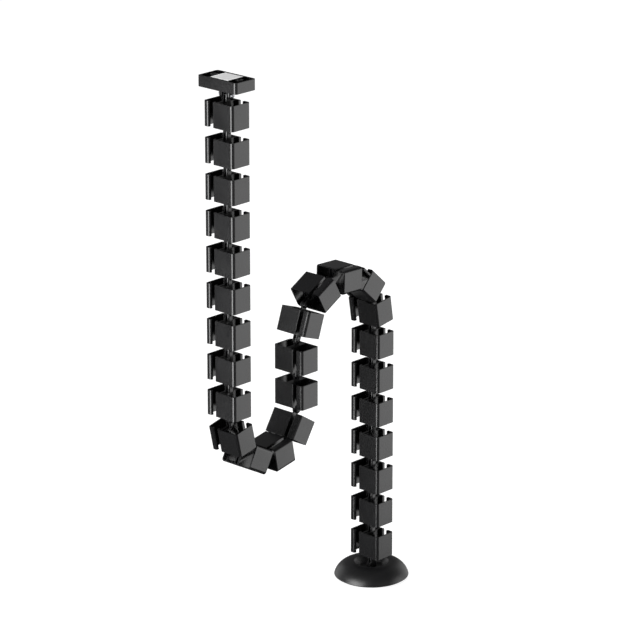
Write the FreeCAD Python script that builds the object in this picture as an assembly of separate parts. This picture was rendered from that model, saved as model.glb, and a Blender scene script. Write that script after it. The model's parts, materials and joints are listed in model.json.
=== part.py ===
import FreeCAD, Part
import math
import os

# Cable spine for a sit-stand desk: a desk bracket, a chain of hinged vertebrae and a weighted floor base.
# Millimetres. +Z is up, and every hinge axis is parallel to Y. The origin is on the floor, at the centre
# of the base's underside. The spine hangs in the XZ plane, with the desk bracket at negative X.
# A vertebra is drawn in its own frame: its centre at the origin, its fork up and its hook down.

os.makedirs("parts", exist_ok=True)

# Vertebra shell: an open tube for the cables, slotted on both wide walls
SHELL_WIDTH = 49.6
SHELL_DEPTH = 32.0
SHELL_HEIGHT = 32.4
WALL = 1.8
CORNER = 2.2
STUB_LENGTH = 10.0
SLOT_WIDTH = 5.8
LIP_DEPTH = 4.0

# Hinge between neighbours: a hook that snaps over the bar of the next fork
PITCH = 47.0
HOOK_REACH = 22.5
LINK_WIDTH = 8.2
EAR_THICKNESS = 2.4
END_BEVEL = 2.4
HOOK_THICKNESS = 2.4
HOOK_MOUTH = 4.9
SIDE_GAP = 0.3
BAR_RADIUS = 1.7
BAR_FLAT = 1.0
RUNNING_CLEARANCE = 0.06
SNAP_OPENING = 104.0
HUB_POCKET_FLOOR = 10.0

# How far each vertebra turns from the one before it, from the desk to the floor, in degrees
VERTEBRA_COUNT = 27
TURNS = {10: 13, 11: 49, 12: 39, 13: 47, 14: 32, 16: -19, 17: -42, 18: -31, 19: -40, 20: -39, 21: -9}

# Desk bracket
BRACKET_LENGTH = 66.0
BRACKET_DEPTH = 35.8
BRACKET_HEIGHT = 14.2
BRACKET_WALL = 2.0
BRACKET_FLOOR = 3.2
BRACKET_DROP = 8.3
SCREW_SPACING = 44.0
SCREW_HOLE = 4.5
BOSS_RADIUS = 4.6
PAD_WIDTH = 27.0
PAD_LENGTH = 30.0
PAD_THICKNESS = 1.2
PAD_PROUD = 0.2
PAD_CLEARANCE = 0.2
PAD_RIB = 1.0
LUG_WIDTH = 10.0
LUG_FACE = 9.3

# Pivot screw of the bracket
PIVOT_RADIUS = 1.5
PIVOT_HEAD_RADIUS = 3.0
PIVOT_HEAD_HEIGHT = 2.4
PIVOT_HEAD_BEVEL = 0.8
NUT_WIDTH = 5.5
NUT_HEIGHT = 2.4
PIVOT_END = 1.0

# Floor base
BASE_RADIUS = 49.8
BELLY_HEIGHT = 3.4
FLANK_RADIUS = 44.8
FLANK_HEIGHT = 13.7
CROWN_RADIUS = 35.4
CROWN_HEIGHT = 20.3
RIM_RADIUS = 24.0
RIM_HEIGHT = 21.6
FOOT_RADIUS = 46.0
DOME_CLEARANCE = 1.0
DOME_WALL = 2.4
SKIRT_WALL = 1.8
RIM_WALL = 3.6
WELL_RADIUS = 16.5
WELL_FLOOR = 13.0
BASE_HINGE_HEIGHT = 26.0
POST_WIDTH = 12.0
POST_HEIGHT = 20.0
FOOT_PAD_THICKNESS = 1.5
FOOT_PAD_RADIUS = 43.0
WEIGHT_RADIUS = 41.0
BASE_SCREW_RADIUS = 2.0
BASE_SCREW_HEAD_RADIUS = 4.0
BASE_SCREW_HEAD_HEIGHT = 2.2
BASE_SCREW_TOP = 18.5
HOLE_CLEARANCE = 0.3

# Worked out from the values above
HALF_DEPTH = SHELL_DEPTH / 2
HALF_WIDTH = SHELL_WIDTH / 2
HALF_HEIGHT = SHELL_HEIGHT / 2
FORK_REACH = PITCH - HOOK_REACH
GAP_HALF = HOOK_THICKNESS / 2 + SIDE_GAP
FORK_HALF = GAP_HALF + EAR_THICKNESS
HOOK_BORE = BAR_RADIUS + RUNNING_CLEARANCE
PIVOT_BORE = PIVOT_RADIUS + RUNNING_CLEARANCE
OVERLAP = 1.0
Y_AXIS = FreeCAD.Vector(0, 1, 0)
Z_AXIS = FreeCAD.Vector(0, 0, 1)


def vector(x, y, z):
    return FreeCAD.Vector(x, y, z)


def box(low, high):
    size = [b - a for a, b in zip(low, high)]
    return Part.makeBox(size[0], size[1], size[2], vector(*low))


def cylinder_y(radius, start, end, z):
    """A cylinder along Y, centred on x = 0 at height z."""
    return Part.makeCylinder(radius, end - start, vector(0, start, z), Y_AXIS)


def disc(radius, bottom, top):
    return Part.makeCylinder(radius, top - bottom, vector(0, 0, bottom))


def bevelled_box(length_x, length_y, bottom, top, bevel):
    """An upright box centred on the Z axis, with bevelled upright edges."""
    solid = box((-length_x / 2, -length_y / 2, bottom), (length_x / 2, length_y / 2, top))
    upright = [e for e in solid.Edges if abs(e.tangentAt(e.FirstParameter).z) > 0.5]
    return solid.makeChamfer(bevel, upright)


def plate_xz(points, start, end):
    """A flat plate between y = start and y = end, with its outline in the XZ plane."""
    corners = [vector(x, start, z) for x, z in points]
    face = Part.Face(Part.makePolygon(corners + corners[:1]))
    return face.extrude(vector(0, end - start, 0))


def half_section():
    """Half of the shell's section: one narrow wall, its two corners, a stub and a lipped panel."""
    inner_x = HALF_DEPTH - WALL
    inner_y = HALF_WIDTH - WALL
    corner_x = HALF_DEPTH - CORNER
    corner_y = HALF_WIDTH - CORNER
    stub_end = STUB_LENGTH - HALF_WIDTH
    lip = HALF_WIDTH - STUB_LENGTH - SLOT_WIDTH
    return [
        (-inner_x, -FORK_HALF),
        (-inner_x, -inner_y),
        (inner_x, -inner_y),
        (inner_x, stub_end),
        (HALF_DEPTH, stub_end),
        (HALF_DEPTH, -corner_y),
        (corner_x, -HALF_WIDTH),
        (-corner_x, -HALF_WIDTH),
        (-HALF_DEPTH, -corner_y),
        (-HALF_DEPTH, lip),
        (LIP_DEPTH - HALF_DEPTH, lip),
        (LIP_DEPTH - HALF_DEPTH, lip - WALL),
        (-inner_x, lip - WALL),
        (-inner_x, FORK_HALF),
    ]


def shell():
    """The tube: the half section and its copy turned half round, joined by a web across the middle."""
    half = half_section()
    outline = half + [(-x, -y) for x, y in half]
    corners = [vector(x, y, -HALF_HEIGHT) for x, y in outline]
    face = Part.Face(Part.makePolygon(corners + corners[:1]))
    tube = face.extrude(vector(0, 0, SHELL_HEIGHT))
    inner_x = HALF_DEPTH - WALL
    pocket_floor = HUB_POCKET_FLOOR - HALF_HEIGHT
    pocket = box((-inner_x, -GAP_HALF, pocket_floor), (inner_x, GAP_HALF, HALF_HEIGHT))
    return tube.cut(pocket)


def ear_outline(width, root, hinge):
    """A link's side view from its root to the hinge, with its end cut back at the corners."""
    half = width / 2
    outward = math.copysign(1, hinge - root)
    end = hinge + outward * half
    shoulder = end - outward * END_BEVEL
    flat = half - END_BEVEL
    return [
        (-half, root),
        (-half, shoulder),
        (-flat, end),
        (flat, end),
        (half, shoulder),
        (half, root),
    ]


def fork(root, hinge, bore=0):
    """Two ears joined by the bar, or, with a bore, two ears drilled for a screw.

    The bar has two flats, so that a hook goes over it only when bent far past its working range.
    """
    outline = ear_outline(LINK_WIDTH, root, hinge)
    near = plate_xz(outline, -FORK_HALF, -GAP_HALF)
    far = plate_xz(outline, GAP_HALF, FORK_HALF)
    if bore:
        ears = near.fuse(far)
        return ears.cut(cylinder_y(bore, -FORK_HALF, FORK_HALF, hinge))
    flats = (-BAR_RADIUS, -GAP_HALF, hinge - BAR_FLAT), (BAR_RADIUS, GAP_HALF, hinge + BAR_FLAT)
    bar = cylinder_y(BAR_RADIUS, -GAP_HALF, GAP_HALF, hinge).common(box(*flats))
    return near.fuse([far, bar])


def hook(root, hinge):
    """The snap hook: a bore for the bar, open at the end by less than the bar's width."""
    half = LINK_WIDTH / 2
    throat = math.radians(SNAP_OPENING / 2)
    throat_x = HOOK_BORE * math.sin(throat)
    throat_z = hinge - HOOK_BORE * math.cos(throat)
    tip_x = HOOK_MOUTH / 2
    tip_z = hinge - half
    shoulder = tip_z + END_BEVEL
    corners = [
        (throat_x, throat_z),
        (tip_x, tip_z),
        (half, shoulder),
        (half, root),
        (-half, root),
        (-half, shoulder),
        (-tip_x, tip_z),
        (-throat_x, throat_z),
    ]
    start = -HOOK_THICKNESS / 2
    points = [vector(x, start, z) for x, z in corners]
    bore = Part.Arc(points[-1], vector(0, start, hinge + HOOK_BORE), points[0]).toShape()
    face = Part.Face(Part.Wire(Part.makePolygon(points).Edges + [bore]))
    return face.extrude(vector(0, HOOK_THICKNESS, 0))


def vertebra(bore=0):
    """One moulding: shell, web, fork and hook. The first has a bored fork, for the bracket's screw."""
    top = fork(HALF_HEIGHT - OVERLAP, FORK_REACH, bore)
    bottom = hook(OVERLAP - HALF_HEIGHT, -HOOK_REACH)
    return shell().fuse([top, bottom]).removeSplitter()


def vertebra_places():
    """Each vertebra's centre (x, z) and its angle from hanging straight, and the bracket hinge's (x, z)."""
    x, z, angle = 0.0, 0.0, 0.0
    centres = []
    for number in range(1, VERTEBRA_COUNT + 1):
        angle += TURNS.get(number, 0)
        along = (math.sin(math.radians(angle)), -math.cos(math.radians(angle)))
        centres.append((x + FORK_REACH * along[0], z + FORK_REACH * along[1], angle))
        x += PITCH * along[0]
        z += PITCH * along[1]
    lift = BASE_HINGE_HEIGHT - z
    return [(cx - x, cz + lift, turn) for cx, cz, turn in centres], (-x, lift)


def lug(hinge, bottom, side):
    """One of the bracket's two lugs, outside the fork, drilled for the pivot screw."""
    inner = FORK_HALF + SIDE_GAP
    outline = ear_outline(LUG_WIDTH, bottom + OVERLAP, hinge)
    plate = plate_xz(outline, min(side * inner, side * LUG_FACE), max(side * inner, side * LUG_FACE))
    return plate.cut(cylinder_y(PIVOT_BORE, -LUG_FACE, LUG_FACE, hinge))


def desk_bracket():
    """A tray that screws up under the desk, drawn with its hinge axis at the origin."""
    bottom = BRACKET_DROP
    top = bottom + BRACKET_HEIGHT
    tray = bevelled_box(BRACKET_DEPTH, BRACKET_LENGTH, bottom, top, CORNER)
    half_x = BRACKET_DEPTH / 2 - BRACKET_WALL
    end_y = BRACKET_LENGTH / 2 - BRACKET_WALL
    middle_y = PAD_LENGTH / 2 + PAD_CLEARANCE + PAD_RIB
    for side in (-1, 1):
        near, far = sorted((side * middle_y, side * end_y))
        pocket = box((-half_x, near, bottom + BRACKET_FLOOR), (half_x, far, top))
        boss = disc(BOSS_RADIUS, bottom, top)
        boss.translate(vector(0, side * SCREW_SPACING / 2, 0))
        hole = disc(SCREW_HOLE / 2, bottom, top)
        hole.translate(vector(0, side * SCREW_SPACING / 2, 0))
        tray = tray.cut(pocket.cut(boss)).cut(hole)
    recess_x = PAD_WIDTH / 2 + PAD_CLEARANCE
    recess_y = PAD_LENGTH / 2 + PAD_CLEARANCE
    recess_floor = top + PAD_PROUD - PAD_THICKNESS
    tray = tray.cut(box((-recess_x, -recess_y, recess_floor), (recess_x, recess_y, top)))
    tray = tray.fuse([lug(0, bottom, -1), lug(0, bottom, 1)])
    return tray.removeSplitter()


def adhesive_pad():
    """The light pad that lies in the tray's middle and meets the desk."""
    top = BRACKET_DROP + BRACKET_HEIGHT + PAD_PROUD
    low = (-PAD_WIDTH / 2, -PAD_LENGTH / 2, top - PAD_THICKNESS)
    return box(low, (PAD_WIDTH / 2, PAD_LENGTH / 2, top))


def pivot_screw():
    """Pan-head screw along Y through both lugs, its head on the -Y side."""
    head_end = -LUG_FACE - PIVOT_HEAD_HEIGHT
    head = cylinder_y(PIVOT_HEAD_RADIUS, head_end, -LUG_FACE, 0)
    rim = [e for e in head.Edges if e.Closed and abs(e.CenterOfMass.y - head_end) < 0.01]
    head = head.makeChamfer(PIVOT_HEAD_BEVEL, rim)
    shank = cylinder_y(PIVOT_RADIUS, -LUG_FACE - OVERLAP, LUG_FACE + NUT_HEIGHT + PIVOT_END, 0)
    return head.fuse(shank).removeSplitter()


def pivot_nut():
    """The hexagon nut that holds the pivot screw, on the +Y side."""
    radius = NUT_WIDTH / 2 / math.cos(math.radians(30))
    corners = []
    for step in range(6):
        angle = math.radians(60 * step)
        corners.append((radius * math.cos(angle), radius * math.sin(angle)))
    nut = plate_xz(corners, LUG_FACE, LUG_FACE + NUT_HEIGHT)
    return nut.cut(cylinder_y(PIVOT_RADIUS, LUG_FACE, LUG_FACE + NUT_HEIGHT, 0))


def revolve(profile):
    """A full turn about Z of a closed outline of (radius, height) edges."""
    face = Part.Face(Part.Wire(profile))
    return face.revolve(vector(0, 0, 0), Z_AXIS, 360)


def radial_line(*points):
    return Part.makePolygon([vector(r, 0, z) for r, z in points]).Edges


def base_dome():
    """The moulded dome: a belly, a crater with the last fork in it, and a hollow below."""
    floor_under = WELL_FLOOR - DOME_WALL
    outer = radial_line((0, floor_under), (WELL_RADIUS + DOME_WALL, floor_under))
    outer += radial_line(
        (WELL_RADIUS + DOME_WALL, floor_under),
        (RIM_RADIUS + DOME_WALL, RIM_HEIGHT - RIM_WALL),
        (CROWN_RADIUS - DOME_WALL, CROWN_HEIGHT - DOME_WALL),
        (FLANK_RADIUS - DOME_WALL, FLANK_HEIGHT - DOME_WALL),
        (FOOT_RADIUS - SKIRT_WALL, DOME_CLEARANCE),
        (FOOT_RADIUS, DOME_CLEARANCE),
        (BASE_RADIUS, BELLY_HEIGHT),
        (FLANK_RADIUS, FLANK_HEIGHT),
        (CROWN_RADIUS, CROWN_HEIGHT),
        (RIM_RADIUS, RIM_HEIGHT),
    )
    crater = radial_line(
        (RIM_RADIUS, RIM_HEIGHT),
        (WELL_RADIUS, WELL_FLOOR),
        (0, WELL_FLOOR),
        (0, floor_under),
    )
    dome = revolve(outer + crater)
    half = POST_WIDTH / 2
    post = box((-half, -FORK_HALF, WELL_FLOOR - OVERLAP), (half, FORK_HALF, POST_HEIGHT))
    ears = fork(POST_HEIGHT - OVERLAP, BASE_HINGE_HEIGHT)
    solid = dome.fuse([post, ears]).removeSplitter()
    return solid.cut(disc(BASE_SCREW_RADIUS, floor_under, BASE_SCREW_TOP))


def base_weight():
    """The steel disc under the crater's floor, countersunk for the screw."""
    top = WELL_FLOOR - DOME_WALL
    hole = BASE_SCREW_RADIUS + HOLE_CLEARANCE
    sink = BASE_SCREW_HEAD_RADIUS + HOLE_CLEARANCE
    profile = radial_line(
        (sink, FOOT_PAD_THICKNESS),
        (WEIGHT_RADIUS, FOOT_PAD_THICKNESS),
        (WEIGHT_RADIUS, top),
        (hole, top),
        (hole, FOOT_PAD_THICKNESS + BASE_SCREW_HEAD_HEIGHT),
        (sink, FOOT_PAD_THICKNESS),
    )
    return revolve(profile)


def base_screw():
    """The countersunk screw that draws the weight up under the dome."""
    shank_start = FOOT_PAD_THICKNESS + BASE_SCREW_HEAD_HEIGHT
    profile = radial_line(
        (0, FOOT_PAD_THICKNESS),
        (BASE_SCREW_HEAD_RADIUS, FOOT_PAD_THICKNESS),
        (BASE_SCREW_RADIUS, shank_start),
        (BASE_SCREW_RADIUS, BASE_SCREW_TOP),
        (0, BASE_SCREW_TOP),
        (0, FOOT_PAD_THICKNESS),
    )
    return revolve(profile)


def foot_pad():
    """The anti-slip pad under the weight, which stands on the floor."""
    return disc(FOOT_PAD_RADIUS, 0, FOOT_PAD_THICKNESS)


def save(shape, node):
    shape.exportStep(f"parts/{node}.step")


def placed(shape, x, z, turn):
    """A copy turned about Y and moved in the spine's plane."""
    copy = shape.copy()
    copy.Placement = FreeCAD.Placement(vector(x, 0, z), FreeCAD.Rotation(Y_AXIS, -turn))
    return copy


def main():
    centres, bracket_hinge = vertebra_places()
    first = vertebra(PIVOT_BORE)
    plain = vertebra()
    for number, (x, z, turn) in enumerate(centres, start=1):
        shape = first if number == 1 else plain
        save(placed(shape, x, z, turn), f"vertebra_{number:02d}")
    x, z = bracket_hinge
    for make in (desk_bracket, adhesive_pad, pivot_screw, pivot_nut):
        save(placed(make(), x, z, 0), make.__name__)
    for make in (base_dome, base_weight, base_screw, foot_pad):
        save(make(), make.__name__)


main()
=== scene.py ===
# %% [markdown]
# # A cable spine, finished in Blender
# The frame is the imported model: every solid at its real size and place. This lesson dresses it. It rebuilds
# the mouldings with the rounded corners that light catches, gives each material its grain and gloss, and
# sets the spine on a white sweep under soft lamps.

# %% The frame
import json
import math
import bmesh
import bpy
from mathutils import Matrix, Vector


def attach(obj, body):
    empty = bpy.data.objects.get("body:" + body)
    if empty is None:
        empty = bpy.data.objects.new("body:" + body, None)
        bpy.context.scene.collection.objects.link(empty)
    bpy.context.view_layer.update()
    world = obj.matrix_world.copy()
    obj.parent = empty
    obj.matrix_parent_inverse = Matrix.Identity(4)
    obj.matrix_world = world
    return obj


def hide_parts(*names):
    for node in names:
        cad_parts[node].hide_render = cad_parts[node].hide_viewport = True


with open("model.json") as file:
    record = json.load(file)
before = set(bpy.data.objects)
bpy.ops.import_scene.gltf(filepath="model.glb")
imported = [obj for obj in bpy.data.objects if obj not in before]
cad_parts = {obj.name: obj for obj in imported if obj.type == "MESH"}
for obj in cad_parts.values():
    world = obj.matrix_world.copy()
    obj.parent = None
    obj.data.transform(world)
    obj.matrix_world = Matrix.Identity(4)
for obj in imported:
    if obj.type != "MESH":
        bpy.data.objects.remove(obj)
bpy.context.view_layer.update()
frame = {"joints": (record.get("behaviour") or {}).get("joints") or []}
MM = 0.001

# %% [markdown]
# ## Where each vertebra sits
# The joints say where every hinge is. Joint 1 hangs the first vertebra from the bracket, joint 2 hangs the
# second from the first, and the last one stands on the base. So a vertebra lies between two hinges, and its
# place and lean follow from them. Reading them from the frame keeps this file free of copied coordinates.

# %% Hinges and places
hinges = [Vector(joint["pos_m"]) for joint in frame["joints"]]
VERTEBRAE = [f"vertebra_{number:02d}" for number in range(1, len(hinges))]
FORK_TOP = 24.5


def place_of(number):
    """Where vertebra number (from 1) goes: its own frame, turned about Y and moved to its place."""
    upper, lower = hinges[number - 1], hinges[number]
    down = (lower - upper).normalized()
    lean = math.atan2(down.x, -down.z)
    centre = upper + down * (FORK_TOP * MM)
    return Matrix.Translation(centre) @ Matrix.Rotation(-lean, 4, "Y")


print("first vertebra at", [round(v, 4) for v in place_of(1).translation])

# %% [markdown]
# ## Helpers for colours and nodes
# A colour is easiest to read as the hex value of a picture, but a shader works in linear light, so one
# function turns one into the other. A second function adds a node with its settings and links, and keeps
# each material short enough to read as a recipe.

# %% Colour and node helpers
def linear(hex_colour):
    """An sRGB hex value, such as "#1c1c1d", as a linear RGBA colour."""
    channels = [int(hex_colour[i:i + 2], 16) / 255 for i in (1, 3, 5)]
    return [c / 12.92 if c <= 0.04045 else ((c + 0.055) / 1.055) ** 2.4 for c in channels] + [1.0]


def scaled(hex_colour, factor):
    """The linear colour made lighter or darker by a factor, and still opaque."""
    return [channel * factor for channel in linear(hex_colour)[:3]] + [1.0]


def add_node(tree, kind, settings=None, **links):
    """A new node. Settings are its properties or, by input name, its values; links feed its inputs."""
    node = tree.nodes.new(kind)
    for name, value in (settings or {}).items():
        if hasattr(node, name):
            setattr(node, name, value)
        else:
            node.inputs[name].default_value = value
    for name, socket in links.items():
        tree.links.new(socket, node.inputs[name.replace("_", " ")])
    return node


def new_material(name):
    """An empty node material with its output, ready for a shader."""
    material = bpy.data.materials.new(name)
    material.use_nodes = True
    material.node_tree.nodes.clear()
    return material, material.node_tree, material.node_tree.nodes.new("ShaderNodeOutputMaterial")


print("mid grey #808080 in linear light:", round(linear("#808080")[0], 3))

# %% [markdown]
# ## Black moulded ABS
# The spine and bracket are injection-moulded ABS, pigmented black, from a finely etched mould. The etching
# gives a satin surface: reflections stay readable but soft at the edges. The grain is about a tenth of a
# millimetre, too fine to show here, so it is drawn coarser. Slow changes in gloss, a few centimetres wide,
# are what moulded plastic has where it cooled at different rates.

# %% Plastics
DRIFT_MM, GLOSS_DRIFT, TONE_DRIFT = 35, 0.08, 1.35


def moulded_plastic(name, colour, roughness, grain_mm, grain_depth):
    """Pigmented thermoplastic from an etched mould: grain as bump, and a slow drift of gloss and tone."""
    material, tree, output = new_material(name)
    where = add_node(tree, "ShaderNodeTexCoord").outputs["Object"]
    grain = add_node(tree, "ShaderNodeTexNoise", {"Scale": 1 / (grain_mm * MM), "Detail": 3.0}, Vector=where)
    drift = add_node(tree, "ShaderNodeTexNoise", {"Scale": 1 / (DRIFT_MM * MM), "Detail": 2.0}, Vector=where)
    gloss = add_node(tree, "ShaderNodeMapRange",
                     {"From Min": 0.3, "From Max": 0.7,
                      "To Min": roughness * (1 - GLOSS_DRIFT), "To Max": roughness * (1 + GLOSS_DRIFT)},
                     Value=drift.outputs["Fac"])
    tone = add_node(tree, "ShaderNodeMixRGB",
                    {"Color1": linear(colour), "Color2": scaled(colour, TONE_DRIFT)},
                    Fac=drift.outputs["Fac"])
    bump = add_node(tree, "ShaderNodeBump", {"Strength": 1.0, "Distance": grain_depth * MM},
                    Height=grain.outputs["Fac"])
    shader = add_node(tree, "ShaderNodeBsdfPrincipled", {"IOR": 1.45},
                      Base_Color=tone.outputs["Color"], Roughness=gloss.outputs["Result"],
                      Normal=bump.outputs["Normal"])
    tree.links.new(shader.outputs[0], output.inputs["Surface"])
    return material


spine_abs = moulded_plastic("black_moulded_abs", "#0f0f10", 0.25, 0.45, 0.003)
base_abs = moulded_plastic("black_satin_base", "#0e0e0f", 0.42, 0.5, 0.004)
print("plastics:", spine_abs.name, base_abs.name)

# %% [markdown]
# ## Foam pad, metal and rubber
# The bracket's pad is white closed-cell foam under a pale grey release film, both with a faint mottle. The
# screws and the nut are bright zinc plate on steel. The weight is cut steel plate, lightly oiled, and the
# foot pad under it is rubber with a raised grain.

# %% Other materials
def foam_with_film(name, colour):
    """Closed-cell foam tape under its film: pale, smooth, with a faint cloudy mottle."""
    material, tree, output = new_material(name)
    where = add_node(tree, "ShaderNodeTexCoord").outputs["Object"]
    cloud = add_node(tree, "ShaderNodeTexNoise", {"Scale": 1 / (4 * MM), "Detail": 4.0}, Vector=where)
    tone = add_node(tree, "ShaderNodeMixRGB", {"Color1": scaled(colour, 0.9), "Color2": linear(colour)},
                    Fac=cloud.outputs["Fac"])
    bump = add_node(tree, "ShaderNodeBump", {"Strength": 0.6, "Distance": 0.03 * MM},
                    Height=cloud.outputs["Fac"])
    shader = add_node(tree, "ShaderNodeBsdfPrincipled", {"Roughness": 0.45, "IOR": 1.45},
                      Base_Color=tone.outputs["Color"], Normal=bump.outputs["Normal"])
    tree.links.new(shader.outputs[0], output.inputs["Surface"])
    return material


def worked_metal(name, colour, roughness, mark_mm):
    """Bare or plated steel: fine marks in the roughness and a slight bump."""
    material, tree, output = new_material(name)
    where = add_node(tree, "ShaderNodeTexCoord").outputs["Object"]
    marks = add_node(tree, "ShaderNodeTexNoise", {"Scale": 1 / (mark_mm * MM), "Detail": 5.0}, Vector=where)
    gloss = add_node(tree, "ShaderNodeMapRange", {"To Min": roughness * 0.7, "To Max": roughness * 1.4},
                     Value=marks.outputs["Fac"])
    bump = add_node(tree, "ShaderNodeBump", {"Strength": 0.5, "Distance": 0.01 * MM},
                    Height=marks.outputs["Fac"])
    shader = add_node(tree, "ShaderNodeBsdfPrincipled", {"Metallic": 1.0, "Base Color": linear(colour)},
                      Roughness=gloss.outputs["Result"], Normal=bump.outputs["Normal"])
    tree.links.new(shader.outputs[0], output.inputs["Surface"])
    return material


def textured_rubber(name, colour):
    """Moulded rubber sheet with a fine raised grain, about a millimetre apart."""
    material, tree, output = new_material(name)
    where = add_node(tree, "ShaderNodeTexCoord").outputs["Object"]
    grain = add_node(tree, "ShaderNodeTexVoronoi", {"Scale": 1 / (1.0 * MM)}, Vector=where)
    bump = add_node(tree, "ShaderNodeBump", {"Strength": 0.8, "Distance": 0.08 * MM},
                    Height=grain.outputs["Distance"])
    shader = add_node(tree, "ShaderNodeBsdfPrincipled", {"Base Color": linear(colour), "Roughness": 0.75},
                      Normal=bump.outputs["Normal"])
    tree.links.new(shader.outputs[0], output.inputs["Surface"])
    return material


pad_film = foam_with_film("grey_release_film", "#d6d6d6")
foam_edge = foam_with_film("white_foam", "#ececec")
zinc_plate = worked_metal("bright_zinc_plate", "#a9aaad", 0.34, 0.6)
cut_steel = worked_metal("oiled_cut_steel", "#77787a", 0.42, 1.2)
foot_rubber = textured_rubber("black_foot_rubber", "#1a1a1a")
print("materials in all:", len(bpy.data.materials))

# %% [markdown]
# ## Outlines, boxes and rounded edges
# Each moulding starts as a flat outline or a box. The outline is raised into a solid, and chosen edges of it
# are rounded with an arc. A subdivided mesh could give soft shapes too, but an outline in millimetres keeps
# every size readable.

# %% Outlines, boxes and rounded edges
NEAR = 1e-6


def prism(points, bottom, top):
    """A bmesh solid: a flat outline of (x, y) in millimetres, raised from bottom to top."""
    shape = bmesh.new()
    corners = [shape.verts.new((x * MM, y * MM, bottom * MM)) for x, y in points]
    face = shape.faces.new(corners)
    raised = bmesh.ops.extrude_face_region(shape, geom=[face])
    moved = [v for v in raised["geom"] if isinstance(v, bmesh.types.BMVert)]
    bmesh.ops.translate(shape, verts=moved, vec=(0, 0, (top - bottom) * MM))
    bmesh.ops.recalc_face_normals(shape, faces=shape.faces)
    return shape


def cuboid(size, centre):
    """A bmesh box, its size and centre in millimetres."""
    shape = bmesh.new()
    bmesh.ops.create_cube(shape, size=1.0)
    bmesh.ops.scale(shape, verts=shape.verts, vec=[side * MM for side in size])
    bmesh.ops.translate(shape, verts=shape.verts, vec=[place * MM for place in centre])
    return shape


def upright_edges(shape, test):
    """The edges along Z whose (x, y) in millimetres passes the test."""
    found = []
    for edge in shape.edges:
        a, b = edge.verts[0].co, edge.verts[1].co
        if abs(a.x - b.x) < NEAR and abs(a.y - b.y) < NEAR and test(a.x / MM, a.y / MM):
            found.append(edge)
    return found


def round_edges(shape, edges, radius, segments):
    """Rounds edges with a circular arc. The radius is in millimetres."""
    bmesh.ops.bevel(shape, geom=edges, offset=radius * MM, offset_type="OFFSET", affect="EDGES",
                    segments=segments, profile=0.5, material=-1, clamp_overlap=False)


trial = cuboid((10, 10, 10), (0, 0, 0))
print("upright edges of a box:", len(upright_edges(trial, lambda x, y: True)))
trial.free()

# %% [markdown]
# ## Joining and cutting
# A moulding with pockets, ears and bores is made here as a few simple solids that are joined and cut. The
# exact solver does it, because faces in one plane are common in this part, and a fast solver can fail there.
# Each result is baked into the mesh at once, so no stack of modifiers is left to evaluate.

# %% Joining and cutting
SOLVER = "EXACT"


def to_object(shape, name, material):
    """The bmesh as a linked object with its material."""
    mesh = bpy.data.meshes.new(name)
    shape.to_mesh(mesh)
    shape.free()
    mesh.materials.append(material)
    piece = bpy.data.objects.new(name, mesh)
    bpy.context.scene.collection.objects.link(piece)
    return piece


def combine(piece, others, operation):
    """Joins or cuts the piece with other closed solids, and deletes those."""
    for other in others:
        modifier = piece.modifiers.new("combine", "BOOLEAN")
        modifier.operation = operation
        modifier.solver = SOLVER
        modifier.object = other
    bake(piece)
    if not piece.data.polygons:
        raise ValueError(f"the {operation} on {piece.name} left nothing")
    for other in others:
        bpy.data.objects.remove(other)


def bake(piece):
    """Applies the piece's modifiers to its mesh."""
    depsgraph = bpy.context.evaluated_depsgraph_get()
    done = bpy.data.meshes.new_from_object(piece.evaluated_get(depsgraph))
    piece.modifiers.clear()
    piece.data = done


print("joins and cuts use the solver", SOLVER)

# %% [markdown]
# ## Softened edges
# A moulding has no razor edges, and the hairline of light along them is what makes it look moulded. So every
# sharp edge is rounded by a hair. The shading is then smooth over the roundings, and the flat faces keep
# their own normals, because each normal is weighted by the area of its faces.

# %% Softened edges
SHARP_ANGLE = 50


def soften(piece, radius, segments=2, angle=32):
    """Rounds every edge sharper than the angle, then shades smoothly with flat faces kept flat."""
    bevel = piece.modifiers.new("edge_round", "BEVEL")
    bevel.width = radius * MM
    bevel.segments = segments
    bevel.limit_method = "ANGLE"
    bevel.angle_limit = math.radians(angle)
    bevel.miter_outer = "MITER_ARC"
    bake(piece)
    shade(piece)


def shade(piece):
    """Smooth shading that breaks at sharp edges and keeps flat faces flat."""
    piece.data.shade_smooth()
    shape = bmesh.new()
    shape.from_mesh(piece.data)
    for edge in shape.edges:
        edge.smooth = len(edge.link_faces) == 2 and edge.calc_face_angle() < math.radians(SHARP_ANGLE)
    shape.to_mesh(piece.data)
    shape.free()
    normals = piece.modifiers.new("flat_faces", "WEIGHTED_NORMAL")
    normals.mode = "FACE_AREA"
    normals.weight = 100
    normals.keep_sharp = True
    bake(piece)


print("the shading breaks at edges sharper than", SHARP_ANGLE, "degrees")

# %% [markdown]
# ## One vertebra
# The real one is a single moulding. Its tube is one section from end to end: two wide walls, two narrow ones,
# a slot in each wide wall for pressing cables in, and a web across the middle. The section is nearly the same
# after half a turn, so one function writes each half. The slots differ: the picture shows a wider one, with a
# well rounded nose, on the side that looks at the camera where the chain stands upright. Only the outline
# matters for the tube, so it is drawn flat, raised, and then its upright corners are rounded.

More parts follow.
